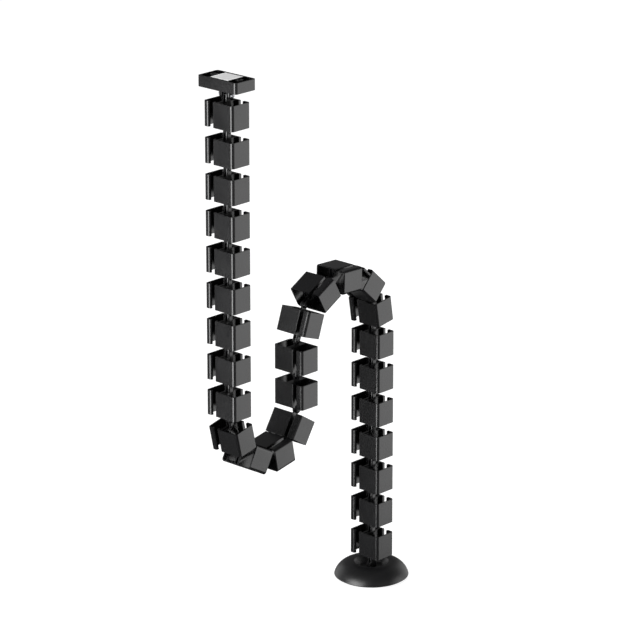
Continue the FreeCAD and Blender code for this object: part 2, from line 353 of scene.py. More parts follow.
# %% Vertebra sizes and section
SHELL_WIDTH, SHELL_DEPTH, SHELL_HEIGHT = 49.6, 32.0, 32.4
WALL, LIP_DEPTH, NOSE_DEPTH = 1.8, 4.0, 1.6
CORNER_ROUND, INNER_ROUND, ROLL_ROUND, LIP_ROUND, MATCH = 3.7, 1.9, 1.1, 0.8, 1e-3
NARROW_SLOT = {"stub": 10.0, "slot": 5.8, "round": 1.0}
WIDE_SLOT = {"stub": 9.0, "slot": 7.3, "round": 2.9}
EAR_THICKNESS, HOOK_THICKNESS, SIDE_GAP = 2.4, 2.4, 0.3
HALF_W, HALF_D, HALF_H = SHELL_WIDTH / 2, SHELL_DEPTH / 2, SHELL_HEIGHT / 2
GAP_HALF = HOOK_THICKNESS / 2 + SIDE_GAP
FORK_HALF = GAP_HALF + EAR_THICKNESS


def half_section(near, far):
    """Half of the section: the near slot's stub, with a nose rolled in, and the far slot's lip."""
    inner_x, inner_y = HALF_D - WALL, HALF_W - WALL
    stub_end = near["stub"] - HALF_W
    lip = HALF_W - far["stub"] - far["slot"]
    return [(-inner_x, -FORK_HALF), (-inner_x, -inner_y), (inner_x, -inner_y), (inner_x, stub_end - WALL),
            (inner_x - NOSE_DEPTH, stub_end - WALL), (inner_x - NOSE_DEPTH, stub_end), (HALF_D, stub_end),
            (HALF_D, -HALF_W), (-HALF_D, -HALF_W), (-HALF_D, lip), (LIP_DEPTH - HALF_D, lip),
            (LIP_DEPTH - HALF_D, lip - WALL), (-inner_x, lip - WALL), (-inner_x, FORK_HALF)]


def tube():
    """The slotted tube with its web, its upright corners rounded."""
    other = [(-x, -y) for x, y in half_section(WIDE_SLOT, NARROW_SLOT)]
    shape = prism(half_section(NARROW_SLOT, WIDE_SLOT) + other, -HALF_H, HALF_H)

    def round_at(x, y, radius, segments):
        found = upright_edges(shape, lambda px, py: abs(px - x) < MATCH and abs(py - y) < MATCH)
        round_edges(shape, found, radius, segments)

    for side, slot in ((1, NARROW_SLOT), (-1, WIDE_SLOT)):
        for end in (-1, 1):
            round_at(side * HALF_D, end * HALF_W, CORNER_ROUND, 6)
            round_at(side * (HALF_D - WALL), end * (HALF_W - WALL), INNER_ROUND, 4)
        nose_y = slot["stub"] - HALF_W
        round_at(side * HALF_D, side * nose_y, slot["round"], 7)
        round_at(side * (HALF_D - WALL), side * (nose_y - WALL), ROLL_ROUND, 4)
        round_at(side * HALF_D, side * (nose_y + slot["slot"]), LIP_ROUND, 3)
    return shape


print("section corners before rounding:", 2 * len(half_section(NARROW_SLOT, WIDE_SLOT)))

# %% [markdown]
# ## Plates, rods and rings
# The ears, the hook and the bracket's lugs are all flat plates with a full round end, so one function makes
# them. Its two end edges are rounded until they nearly meet, and the corners left at the tip are merged. Rods
# and rings along Y make the bar, the bores and the ring that the mould cores out of each ear.

# %% Plates, rods and rings
TIP_FILL, TIP_MERGE = 0.995, 0.012


def plate(width, root, end, thickness, centre_y):
    """An upright plate from root to a full round end, standing or hanging, in the XZ plane."""
    shape = cuboid((width, thickness, abs(end - root)), (0, centre_y, (root + end) / 2))
    tips = []
    for edge in shape.edges:
        a, b = edge.verts[0].co, edge.verts[1].co
        at_end = abs(a.z - end * MM) < NEAR and abs(b.z - end * MM) < NEAR
        if at_end and abs(a.y - b.y) > NEAR:
            tips.append(edge)
    round_edges(shape, tips, width / 2 * TIP_FILL, 8)
    bmesh.ops.remove_doubles(shape, verts=shape.verts, dist=width / 2 * TIP_MERGE * MM)
    return shape


def round_outside(shape, side, thickness, radius):
    """Rounds the rim of a plate on the side that looks away from the middle."""
    face_y = side * thickness
    rim = [e for e in shape.edges if all(abs(v.co.y - face_y * MM) < NEAR for v in e.verts)]
    round_edges(shape, rim, radius, 5)


def rod_y(radius, start, end, centre_z):
    """A closed round rod along Y."""
    shape = bmesh.new()
    bmesh.ops.create_cone(shape, cap_ends=True, segments=40, radius1=radius * MM, radius2=radius * MM,
                          depth=(end - start) * MM)
    bmesh.ops.rotate(shape, verts=shape.verts, cent=(0, 0, 0), matrix=Matrix.Rotation(math.pi / 2, 3, "X"))
    bmesh.ops.translate(shape, verts=shape.verts, vec=(0, (start + end) / 2 * MM, centre_z * MM))
    return shape


def ring_y(outer, inner, start, end, centre_z):
    """A closed flat ring about Y."""
    shape = bmesh.new()
    corners = [(inner, start), (outer, start), (outer, end), (inner, end)]
    verts = [shape.verts.new((r * MM, y * MM, centre_z * MM)) for r, y in corners]
    edges = [shape.edges.new((verts[i], verts[(i + 1) % 4])) for i in range(4)]
    bmesh.ops.spin(shape, geom=verts + edges, cent=(0, 0, centre_z * MM), axis=(0, 1, 0),
                   angle=math.tau, steps=40, use_merge=True)
    bmesh.ops.recalc_face_normals(shape, faces=shape.faces)
    return shape


trial = plate(8, 0, 20, 2, 0)
print("faces of a plate with a round end:", len(trial.faces))
trial.free()

# %% [markdown]
# ## Hook
# Below its tube each vertebra has a flat hook. It ends in a bore that is open by 104 degrees. The throat is
# narrower than the bar of the next vertebra, so the hook snaps on and stays.

# %% Hook
LINK_WIDTH, HOOK_REACH = 8.2, 22.5
HOOK_BORE, HOOK_MOUTH, SNAP_OPENING = 1.76, 4.9, 104.0
HOOK_ROOT = 0.6


def hook_plate():
    """The snap hook: a plate with a round bore that opens at its end."""
    tip, bottom = -HOOK_REACH - LINK_WIDTH / 2, -HOOK_REACH - LINK_WIDTH
    hook = to_object(plate(LINK_WIDTH, HOOK_ROOT - HALF_H, tip, HOOK_THICKNESS, 0.0), "hook", spine_abs)
    half_angle, half_mouth = math.radians(SNAP_OPENING / 2), HOOK_MOUTH / 2
    throat_x = HOOK_BORE * math.sin(half_angle)
    throat_z = -HOOK_REACH - HOOK_BORE * math.cos(half_angle)
    mouth = [(throat_x, throat_z), (half_mouth, tip), (half_mouth, bottom),
             (-half_mouth, bottom), (-half_mouth, tip), (-throat_x, throat_z)]
    wedge = prism(mouth, -HOOK_THICKNESS, HOOK_THICKNESS)
    bmesh.ops.rotate(wedge, verts=wedge.verts, cent=(0, 0, 0), matrix=Matrix.Rotation(math.pi / 2, 3, "X"))
    bore = rod_y(HOOK_BORE, -HOOK_THICKNESS, HOOK_THICKNESS, -HOOK_REACH)
    combine(hook, [to_object(bore, "bore", spine_abs), to_object(wedge, "wedge", spine_abs)], "DIFFERENCE")
    return hook


print("hook's throat:", round(2 * HOOK_BORE * math.sin(math.radians(SNAP_OPENING / 2)), 2), "mm wide")

# %% [markdown]
# ## Fork
# Two ears stand on the web and carry a bar between them. The bar has a flat above and below, which lets a
# hook pass only when it is bent far over. The mould cores out a ring on the outside of each ear, round the
# end of the bar, which keeps the wall even.

# %% Fork
BAR_RADIUS, BAR_FLAT, BAR_OVERLAP, EAR_ROUND = 1.7, 1.0, 0.5, 1.5
RECESS_RADIUS, RECESS_CORE, RECESS_DEPTH = 2.5, 1.2, 1.3


def ear_recess(side, height):
    """The cutter for the ring cored out of an ear's outer face, round the end of the bar."""
    low, high = sorted((side * (FORK_HALF - RECESS_DEPTH), side * (FORK_HALF + 0.5)))
    return ring_y(RECESS_RADIUS, RECESS_CORE, low, high, height)


def ear(root, hinge, side, material, cored=True):
    """One ear of a fork: a plate with its outer rim well rounded, a round end, and a cored ring."""
    middle = side * (GAP_HALF + EAR_THICKNESS / 2)
    shape = plate(LINK_WIDTH, root, hinge + LINK_WIDTH / 2, EAR_THICKNESS, middle)
    round_outside(shape, side, FORK_HALF, EAR_ROUND)
    piece = to_object(shape, "ear", material)
    if cored:
        combine(piece, [to_object(ear_recess(side, hinge), "ring", material)], "DIFFERENCE")
    return piece


def fork_bar(height, material):
    """The bar between two ears, with its two flats."""
    end = GAP_HALF + BAR_OVERLAP
    bar = to_object(rod_y(BAR_RADIUS, -end, end, height), "bar", material)
    flats = cuboid((4 * BAR_RADIUS, 4 * GAP_HALF, 2 * BAR_FLAT), (0, 0, height))
    combine(bar, [to_object(flats, "flats", material)], "INTERSECT")
    return bar


print("bar:", 2 * BAR_RADIUS, "mm thick,", 2 * BAR_FLAT, "mm across its flats")

# %% [markdown]
# ## The whole vertebra
# A pocket for the next hook is cut out of the web, then the fork and the hook are joined on. Two kinds are
# made: the plain one, and the first of the chain, which has a hole through its ears for the bracket's screw
# in place of the bar. Their copies go to all the places along the chain.

# %% The whole vertebra
EAR_ROOT, POCKET_FLOOR, SCREW_BORE, VERTEBRA_EDGE = HALF_H - 4.0, -6.2, 1.56, 0.16


def vertebra(name, bored):
    """One vertebra in its own frame, with a bar in its fork or, where bored, a hole for a screw."""
    piece = to_object(tube(), name, spine_abs)
    depth = HALF_H + 1.0 - POCKET_FLOOR
    pocket = cuboid((SHELL_DEPTH - 2 * WALL, 2 * GAP_HALF, depth), (0, 0, POCKET_FLOOR + depth / 2))
    combine(piece, [to_object(pocket, "pocket", spine_abs)], "DIFFERENCE")
    added = [ear(EAR_ROOT, FORK_TOP, side, spine_abs, not bored) for side in (-1, 1)]
    if not bored:
        added.append(fork_bar(FORK_TOP, spine_abs))
    added.append(hook_plate())
    combine(piece, added, "UNION")
    if bored:
        bore = to_object(rod_y(SCREW_BORE, -FORK_HALF - 1, FORK_HALF + 1, FORK_TOP), "bore", spine_abs)
        combine(piece, [bore], "DIFFERENCE")
    soften(piece, VERTEBRA_EDGE)
    return piece


def put_vertebrae():
    """Copies the two kinds of vertebra into every place, each with its place in its mesh."""
    kinds = {True: vertebra("bored_vertebra", True), False: vertebra("plain_vertebra", False)}
    for number, node in enumerate(VERTEBRAE, start=1):
        mesh = kinds[number == 1].data.copy()
        mesh.transform(place_of(number))
        piece = bpy.data.objects.new(f"moulded_{node}", mesh)
        bpy.context.scene.collection.objects.link(piece)
        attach(piece, node)
        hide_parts(node)
    faces = len(kinds[False].data.polygons)
    for kind in kinds.values():
        bpy.data.objects.remove(kind)
    print("vertebrae:", len(VERTEBRAE), "of", faces, "faces each")


put_vertebrae()

# %% [markdown]
# ## Bracket tray
# The bracket is one moulding too: a shallow tray with rounded upright corners, a pocket at each end with a
# boss for a wood screw, and a shallow recess between them for the pad. It is built as the vertebra is, from
# flat outlines and a few cuts, about its own hinge.

# %% Bracket tray
BRACKET_LENGTH, BRACKET_DEPTH, BRACKET_DROP, BRACKET_HEIGHT = 66.0, 35.8, 8.3, 14.2
BRACKET_WALL, BRACKET_FLOOR, BRACKET_ROUND = 2.0, 3.2, 3.6
SCREW_SPACING, SCREW_HOLE, BOSS_RADIUS = 44.0, 4.5, 4.6
PAD_WIDTH, PAD_LENGTH, PAD_THICKNESS, PAD_PROUD, PAD_CLEARANCE, PAD_RIB = 27.0, 30.0, 1.2, 0.2, 0.2, 1.0
POCKET_ROUND, SEAT_ROUND, TRAY_EDGE = 1.6, 0.6, 0.22
BRACKET_TOP = BRACKET_DROP + BRACKET_HEIGHT
PAD_TOP = BRACKET_TOP + PAD_PROUD


def block(size_x, size_y, bottom, top, radius=0.0, segments=6, centre_y=0.0):
    """An upright block about X = 0, with its upright edges rounded."""
    x, y = size_x / 2, size_y / 2
    corners = [(-x, centre_y - y), (x, centre_y - y), (x, centre_y + y), (-x, centre_y + y)]
    shape = prism(corners, bottom, top)
    if radius:
        round_edges(shape, upright_edges(shape, lambda px, py: True), radius, segments)
    return shape


def pillar(radius, bottom, top, centre_y=0.0):
    """A closed upright rod."""
    shape = bmesh.new()
    bmesh.ops.create_cone(shape, cap_ends=True, segments=48, radius1=radius * MM, radius2=radius * MM,
                          depth=(top - bottom) * MM)
    bmesh.ops.translate(shape, verts=shape.verts, vec=(0, centre_y * MM, (bottom + top) / 2 * MM))
    return shape


def bracket_tray():
    """The tray with its two end pockets, their bosses and screw holes, and the seat of the pad."""
    tray = to_object(block(BRACKET_DEPTH, BRACKET_LENGTH, BRACKET_DROP, BRACKET_TOP, BRACKET_ROUND, 8),
                     "moulded_bracket", spine_abs)
    near = PAD_LENGTH / 2 + PAD_CLEARANCE + PAD_RIB
    far = BRACKET_LENGTH / 2 - BRACKET_WALL
    floor = BRACKET_DROP + BRACKET_FLOOR
    above = BRACKET_TOP + 1
    cuts = [block(PAD_WIDTH + 2 * PAD_CLEARANCE, PAD_LENGTH + 2 * PAD_CLEARANCE, PAD_TOP - PAD_THICKNESS,
                  above, SEAT_ROUND, 3)]
    bosses, holes = [], []
    for side in (-1, 1):
        screw_y = side * SCREW_SPACING / 2
        cuts.append(block(BRACKET_DEPTH - 2 * BRACKET_WALL, far - near, floor, above, POCKET_ROUND, 5,
                          side * (near + far) / 2))
        bosses.append(pillar(BOSS_RADIUS, floor - 0.5, BRACKET_TOP, screw_y))
        holes.append(pillar(SCREW_HOLE / 2, BRACKET_DROP - 1, above, screw_y))
    for shapes, operation in ((cuts, "DIFFERENCE"), (bosses, "UNION"), (holes, "DIFFERENCE")):
        combine(tray, [to_object(shape, "part", spine_abs) for shape in shapes], operation)
    soften(tray, TRAY_EDGE)
    return tray


print("tray:", BRACKET_LENGTH, "by", BRACKET_DEPTH, "by", BRACKET_HEIGHT, "mm")

# %% [markdown]
# ## Lugs and the whole bracket
# Two lugs hang from the tray and take the first vertebra's fork between them. They are plates like the ears,
# bored for the pivot screw. They are softened before they are joined, so that the inner corner where they
# meet the tray isn't rounded with the rest. The whole bracket is then moved to the first joint.

# %% Lugs and the whole bracket
LUG_WIDTH, LUG_FACE, LUG_INNER, LUG_ROUND, LUG_EDGE = 10.0, 9.3, FORK_HALF + SIDE_GAP, 1.9, 0.15


def bracket_lug(side):
    """One lug: a plate with a round end and its outer rim well rounded, bored for the pivot screw."""
    middle, thickness = (LUG_INNER + LUG_FACE) / 2, LUG_FACE - LUG_INNER
    shape = plate(LUG_WIDTH, BRACKET_DROP + 1, -LUG_WIDTH / 2, thickness, side * middle)
    round_outside(shape, side, LUG_FACE, LUG_ROUND)
    lug = to_object(shape, "lug", spine_abs)
    bore = rod_y(SCREW_BORE, -LUG_FACE - 1, LUG_FACE + 1, 0)
    combine(lug, [to_object(bore, "bore", spine_abs)], "DIFFERENCE")
    soften(lug, LUG_EDGE)
    return lug


def desk_bracket():
    """The tray with its lugs, as one moulding."""
    tray = bracket_tray()
    combine(tray, [bracket_lug(side) for side in (-1, 1)], "UNION")
    shade(tray)
    return tray


def place_at_bracket(piece, slot, *nodes):
    """Moves a piece's mesh to the bracket's hinge, ties it to the bracket's body, and hides the frame's nodes
    that it replaces. The slot is not used.
    """
    piece.data.transform(Matrix.Translation(hinges[0]))
    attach(piece, "desk_bracket")
    if nodes:
        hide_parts(*nodes)


place_at_bracket(desk_bracket(), "spine_plastic", "desk_bracket")
print("bracket at", [round(v, 4) for v in hinges[0]])

# %% [markdown]
# ## Adhesive pad
# A foam pad sits in the recess and sticks the bracket to the desk while it is screwed. Its liner is cut a
# little smaller, so a rim of paler foam shows round it. The liner has trapped one small bubble, as they do.

# %% Pad
PAD_RIM, PAD_ROUND, PAD_EDGE = 2.0, 0.8, 0.15
LINER, LINER_SINK, LINER_ROUND, LINER_EDGE = 0.08, 0.05, 1.0, 0.03
BUBBLE_RADIUS, BUBBLE_PLACE, BUBBLE_SINK, BUBBLE_FLATNESS = 1.5, (-0.7, 3.6), 0.6, 0.4


def foam_pad():
    """The foam block in the recess, its rims a little rounded."""
    foam = block(PAD_WIDTH, PAD_LENGTH, PAD_TOP - PAD_THICKNESS, PAD_TOP - LINER, PAD_ROUND, 3)
    pad = to_object(foam, "foam_pad", foam_edge)
    soften(pad, PAD_EDGE)
    return pad


def release_liner():
    """The liner on top of the foam, cut smaller."""
    width, length = PAD_WIDTH - 2 * PAD_RIM, PAD_LENGTH - 2 * PAD_RIM
    film = block(width, length, PAD_TOP - LINER - LINER_SINK, PAD_TOP, LINER_ROUND, 4)
    liner = to_object(film, "release_liner", pad_film)
    soften(liner, LINER_EDGE)
    return liner


def film_bubble():
    """A low round blister in the liner: the cap of a sphere that is mostly below it."""
    x, y = BUBBLE_PLACE
    shape = bmesh.new()
    bmesh.ops.create_uvsphere(shape, u_segments=32, v_segments=16, radius=BUBBLE_RADIUS * MM)
    bmesh.ops.scale(shape, verts=shape.verts, vec=(1, 1, BUBBLE_FLATNESS))
    bmesh.ops.translate(shape, verts=shape.verts, vec=(x * MM, y * MM, (PAD_TOP - BUBBLE_SINK) * MM))
    bubble = to_object(shape, "film_bubble", pad_film)
    bubble.data.shade_smooth()
    return bubble


place_at_bracket(foam_pad(), "pad_foam", "adhesive_pad")
place_at_bracket(release_liner(), "pad_foam")
place_at_bracket(film_bubble(), "pad_foam")
print("pad liner:", PAD_WIDTH - 2 * PAD_RIM, "by", PAD_LENGTH - 2 * PAD_RIM, "mm")

# %% [markdown]
# ## Turned pieces
# Screws, a nut, a weight and a dome are all round, so each is a profile spun about its axis. The profile is a
# closed chain of (radius, height) corners. Spinning leaves the corners on the axis doubled, and merging them
# closes the poles.

# %% Lathe
POLE_MERGE = 1e-7


def spin_about_z(shape, steps):
    """Spins all the edges of a shape once about Z, and closes the poles."""
    bmesh.ops.spin(shape, geom=list(shape.verts) + list(shape.edges), cent=(0, 0, 0), axis=(0, 0, 1),
                   angle=math.tau, steps=steps, use_merge=True)
    bmesh.ops.remove_doubles(shape, verts=shape.verts, dist=POLE_MERGE)
    bmesh.ops.recalc_face_normals(shape, faces=shape.faces)


def lathe(profile, steps):
    """Spins a closed profile of (radius, height) in millimetres about Z. Its run on the axis is left out."""
    shape = bmesh.new()
    corners = [shape.verts.new((r * MM, 0, z * MM)) for r, z in profile]
    for a, b in zip(corners, corners[1:] + corners[:1]):
        if a.co.x or b.co.x:
            shape.edges.new((a, b))
    spin_about_z(shape, steps)
    return shape


trial = lathe([(0, 0), (5, 0), (5, 2), (0, 2)], 48)
print("faces of a plain disc:", len(trial.faces))
trial.free()

# %% [markdown]
# ## Pivot screw
# A zinc-plated M3 machine screw holds the first vertebra between the lugs. It has a pan head with a cross
# recess and a thread where the nut grips. The thread is drawn as rings and not as a helix. At this size they
# look alike, and a spun profile is closed and light.

# %% Pivot screw
PIVOT_RADIUS, PIVOT_END, PIVOT_TAPER, THREAD_PITCH, THREAD_DEPTH = 1.5, 1.0, 0.4, 0.5, 0.22
HEAD_RADIUS, HEAD_HEIGHT, HEAD_FACE, HEAD_CROWN = 3.0, 2.4, 1.9, 1.1
CROSS_WIDTH, CROSS_LENGTH, CROSS_DEPTH, CROSS_START = 0.62, 3.0, 1.5, 0.1
NUT_HEIGHT, SCREW_EDGE, TURNED_ANGLE = 2.4, 0.12, 28


def along_y(shape):
    """Turns a shape that was built up Z so that it points along +Y."""
    bmesh.ops.rotate(shape, verts=shape.verts, cent=(0, 0, 0), matrix=Matrix.Rotation(-math.pi / 2, 3, "X"))
    return shape


def cross_slots(width, length, bottom, top):
    """The two flat blocks that cut a cross recess."""
    return [block(x, y, bottom, top) for x, y in ((width, length), (length, width))]


def pivot_screw():
    """Pan head, plain shank, and a thread at the nut's end."""
    head_end, thread_start = -LUG_FACE - HEAD_HEIGHT, LUG_FACE - 1.0
    tip = LUG_FACE + NUT_HEIGHT + PIVOT_END
    profile = [(0, head_end), (HEAD_FACE, head_end), (HEAD_RADIUS, head_end + HEAD_CROWN),
               (HEAD_RADIUS, -LUG_FACE), (PIVOT_RADIUS, -LUG_FACE), (PIVOT_RADIUS, thread_start)]
    turns = int((tip - PIVOT_TAPER - thread_start) / THREAD_PITCH)
    for turn in range(turns):
        start = thread_start + turn * THREAD_PITCH
        profile.append((PIVOT_RADIUS - THREAD_DEPTH, start + THREAD_PITCH * 0.5))
        profile.append((PIVOT_RADIUS, start + THREAD_PITCH))
    profile += [(PIVOT_RADIUS - PIVOT_TAPER, tip), (0, tip)]
    screw = to_object(along_y(lathe(profile, 48)), "pan_head_screw", zinc_plate)
    slots = []
    for slot in cross_slots(CROSS_WIDTH, CROSS_LENGTH, 0, CROSS_DEPTH):
        along_y(slot)
        bmesh.ops.translate(slot, verts=slot.verts, vec=(0, (head_end - CROSS_START) * MM, 0))
        slots.append(to_object(slot, "slot", zinc_plate))
    combine(screw, slots, "DIFFERENCE")
    soften(screw, SCREW_EDGE, angle=TURNED_ANGLE)
    return screw


place_at_bracket(pivot_screw(), "zinc_steel", "pivot_screw")
print("screw length:", 2 * LUG_FACE + NUT_HEIGHT + PIVOT_END + HEAD_HEIGHT, "mm")

# %% [markdown]
# ## Hexagon nut
# The nut is chamfered on both faces. The hexagon is cut with a spun cone, as a lathe would cut it, and that
# gives the curved edge at each corner. Its bore is countersunk at the outer end, where the tip of the screw
# stands out.

# %% Hexagon nut
NUT_WIDTH, NUT_CHAMFER, NUT_CLEARANCE, NUT_EDGE = 5.5, 0.25, 0.02, 0.08
SINK_DEPTH, SINK_ABOVE, SINK_RADIUS = 0.3, 0.2, 0.5


def hexagon_nut():
    """A hexagon with both faces chamfered, bored for the screw."""
    shape = bmesh.new()
    across = NUT_WIDTH / 2 / math.cos(math.radians(30))
    bmesh.ops.create_cone(shape, cap_ends=True, segments=6, radius1=across * MM, radius2=across * MM,
                          depth=NUT_HEIGHT * MM)
    bmesh.ops.translate(shape, verts=shape.verts, vec=(0, 0, (LUG_FACE + NUT_HEIGHT / 2) * MM))
    nut = to_object(along_y(shape), "hexagon_nut", zinc_plate)
    low, high = LUG_FACE, LUG_FACE + NUT_HEIGHT
    flat, outside = NUT_WIDTH / 2, across + 0.1
    chamfer = lathe([(0, low), (flat, low), (outside, low + NUT_CHAMFER), (outside, high - NUT_CHAMFER),
                     (flat, high), (0, high)], 48)
    combine(nut, [to_object(along_y(chamfer), "chamfer", zinc_plate)], "INTERSECT")
    wide, below, above = PIVOT_RADIUS + NUT_CLEARANCE, low - 0.5, high + SINK_ABOVE
    bore = lathe([(0, below), (wide, below), (wide, high - SINK_DEPTH), (PIVOT_RADIUS + SINK_RADIUS, above),
                  (0, above)], 48)
    combine(nut, [to_object(along_y(bore), "bore", zinc_plate)], "DIFFERENCE")
    soften(nut, NUT_EDGE, angle=TURNED_ANGLE)
    return nut


place_at_bracket(hexagon_nut(), "zinc_steel", "pivot_nut")
print("nut:", NUT_WIDTH, "mm across the flats")

# %% [markdown]
# ## Base
# The base is a moulded dome with a hollow for the steel weight. Its outside is one arc from the belly to the
# rim, and a crater holds the last fork. The arc is made by spinning a single point about the arc's centre,
# and the whole profile then spins about the upright axis.

# %% Base dome
BASE_RADIUS, BELLY_HEIGHT, FOOT_RADIUS, DOME_CLEARANCE = 49.8, 3.4, 46.0, 1.0
ARC_CENTRE, ARC_SWEEP = (26.417, -2.6), (14.39, 95.76)
RIM_RADIUS, RIM_HEIGHT, WELL_RADIUS, WELL_FLOOR, DOME_WALL = 24.0, 21.4, 16.5, 13.0, 2.4
POST_WIDTH, POST_HEIGHT, POST_ROUND, BASE_HINGE = 12.0, 20.0, 1.0, 26.0
SCREW_HOLE_RADIUS, SCREW_TOP, DOME_EDGE, DOME_ANGLE = 2.02, 18.5, 0.25, 25
WEIGHT_TOP = WELL_FLOOR - DOME_WALL
CRATER = [(RIM_RADIUS - 0.9, RIM_HEIGHT - 0.15), (RIM_RADIUS - 1.5, RIM_HEIGHT - 0.8),
          (WELL_RADIUS, WELL_FLOOR), (0, WELL_FLOOR)]
HOLLOW = [(0, WEIGHT_TOP), (18.9, WEIGHT_TOP), (26.4, 18.0), (33.0, 17.9), (40.6, 13.0),
          (44.2, DOME_CLEARANCE), (FOOT_RADIUS, DOME_CLEARANCE)]


def dome_shell():
    """The belly, crater and hollow: the outer arc, then the straight runs, spun about Z."""
    shape = bmesh.new()
    start = shape.verts.new((BASE_RADIUS * MM, 0, BELLY_HEIGHT * MM))
    sweep = math.radians(ARC_SWEEP[1] - ARC_SWEEP[0])
    bmesh.ops.spin(shape, geom=[start], cent=(ARC_CENTRE[0] * MM, 0, ARC_CENTRE[1] * MM), axis=(0, -1, 0),
                   angle=sweep, steps=24)
    end = min(shape.verts, key=lambda v: v.co.x)
    for run, before, after in ((CRATER, [end], []), (HOLLOW, [], [start])):
        chain = before + [shape.verts.new((r * MM, 0, z * MM)) for r, z in run] + after
        for a, b in zip(chain, chain[1:]):
            shape.edges.new((a, b))
    spin_about_z(shape, 128)
    return shape


def base_dome():
    """The dome with its post and the last fork, screw hole included."""
    dome = to_object(dome_shell(), "moulded_base", base_abs)
    soften(dome, DOME_EDGE, angle=DOME_ANGLE)
    stem = block(POST_WIDTH, 2 * FORK_HALF, WELL_FLOOR - 1, POST_HEIGHT, POST_ROUND, 4)
    post = to_object(stem, "post", base_abs)
    ears = [ear(POST_HEIGHT - 2, BASE_HINGE, side, base_abs) for side in (-1, 1)]
    combine(post, ears + [fork_bar(BASE_HINGE, base_abs)], "UNION")
    soften(post, VERTEBRA_EDGE)
    combine(dome, [post], "UNION")
    hole = pillar(SCREW_HOLE_RADIUS, WELL_FLOOR - 3.5, SCREW_TOP)
    combine(dome, [to_object(hole, "hole", base_abs)], "DIFFERENCE")
    shade(dome)
    return dome


def place_at_base(piece, node):
    """Ties a piece of the base to the base's body, and hides the frame's node that it replaces. It is already
    in place.
    """
    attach(piece, "floor_base")
    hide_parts(node)


place_at_base(base_dome(), "base_dome")
print("base:", 2 * BASE_RADIUS, "mm across, its hinge", BASE_HINGE, "mm above the floor")

# %% [markdown]
# ## Inside the base
# The steel disc is cut from plate and countersunk. A zinc-plated countersunk screw with a cross recess draws
# it up under the dome, and a rubber pad with a raised grain stands on the floor.

# %% Weight, screw and foot pad
FOOT_PAD_THICKNESS, FOOT_PAD_RADIUS, FOOT_PAD_EDGE = 1.5, 43.0, 0.35
WEIGHT_RADIUS, WEIGHT_CLEARANCE, WEIGHT_EDGE = 41.0, 0.3, 0.5
SCREW_RADIUS, SCREW_HEAD_RADIUS, SCREW_HEAD_HEIGHT, SCREW_TAPER = 2.0, 4.0, 2.2, 0.8
SCREW_PITCH, SCREW_THREAD, SCREW_POINT = 1.0, 0.35, 0.4
RECESS_WIDTH, RECESS_LENGTH, RECESS_TOP = 0.9, 4.4, 1.2


def base_weight():
    """The countersunk steel disc, its edges broken."""
    low = FOOT_PAD_THICKNESS
    sink, hole = SCREW_HEAD_RADIUS + WEIGHT_CLEARANCE, SCREW_RADIUS + WEIGHT_CLEARANCE
    profile = [(sink, low), (WEIGHT_RADIUS, low), (WEIGHT_RADIUS, WEIGHT_TOP), (hole, WEIGHT_TOP),
               (hole, low + SCREW_HEAD_HEIGHT)]
    disc = to_object(lathe(profile, 96), "steel_weight", cut_steel)
    soften(disc, WEIGHT_EDGE)
    return disc


def base_screw():
    """Countersunk screw with a cross recess and a thread in the post."""
    low = FOOT_PAD_THICKNESS
    profile = [(0, low), (SCREW_HEAD_RADIUS - 0.1, low), (SCREW_HEAD_RADIUS, low + 0.2),
               (SCREW_RADIUS, low + SCREW_HEAD_HEIGHT)]
    height = low + SCREW_HEAD_HEIGHT
    while height + SCREW_PITCH + SCREW_POINT < SCREW_TOP:
        profile.append((SCREW_RADIUS - SCREW_THREAD, height + SCREW_PITCH / 2))
        profile.append((SCREW_RADIUS, height + SCREW_PITCH))
        height += SCREW_PITCH
    profile += [(SCREW_RADIUS - SCREW_TAPER, SCREW_TOP), (0, SCREW_TOP)]
    screw = to_object(lathe(profile, 40), "countersunk_screw", zinc_plate)
    slots = cross_slots(RECESS_WIDTH, RECESS_LENGTH, low - 0.5, low + RECESS_TOP)
    combine(screw, [to_object(slot, "slot", zinc_plate) for slot in slots], "DIFFERENCE")
    soften(screw, SCREW_EDGE, angle=TURNED_ANGLE)
    return screw


def foot_pad():
    """The rubber disc that stands on the floor, its rims rounded."""
    profile = [(0, 0), (FOOT_PAD_RADIUS, 0), (FOOT_PAD_RADIUS, FOOT_PAD_THICKNESS), (0, FOOT_PAD_THICKNESS)]
    pad = to_object(lathe(profile, 96), "rubber_foot_pad", foot_rubber)
    soften(pad, FOOT_PAD_EDGE, 3)
    return pad


place_at_base(base_weight(), "base_weight")
place_at_base(base_screw(), "base_screw")
place_at_base(foot_pad(), "foot_pad")
print("weight:", 2 * WEIGHT_RADIUS, "mm across and", round(WEIGHT_TOP - FOOT_PAD_THICKNESS, 2), "mm thick")

# %% [markdown]
# ## Camera
# The view was found by fitting the hinges and faces to the picture: turned 47 degrees, looking down 18, from
# almost five metres away with a long lens. The aim is given as the offset of the picture's centre from the
# hinge in the base.

# %% Camera
AZIMUTH, ELEVATION, DISTANCE = -47.107, 18.224, 4767.9 * MM
FOCAL_PIXELS, PICTURE, SENSOR = 3565.9, 640, 36.0
AIM_RIGHT, AIM_UP = -68.75 * MM, 317.124 * MM


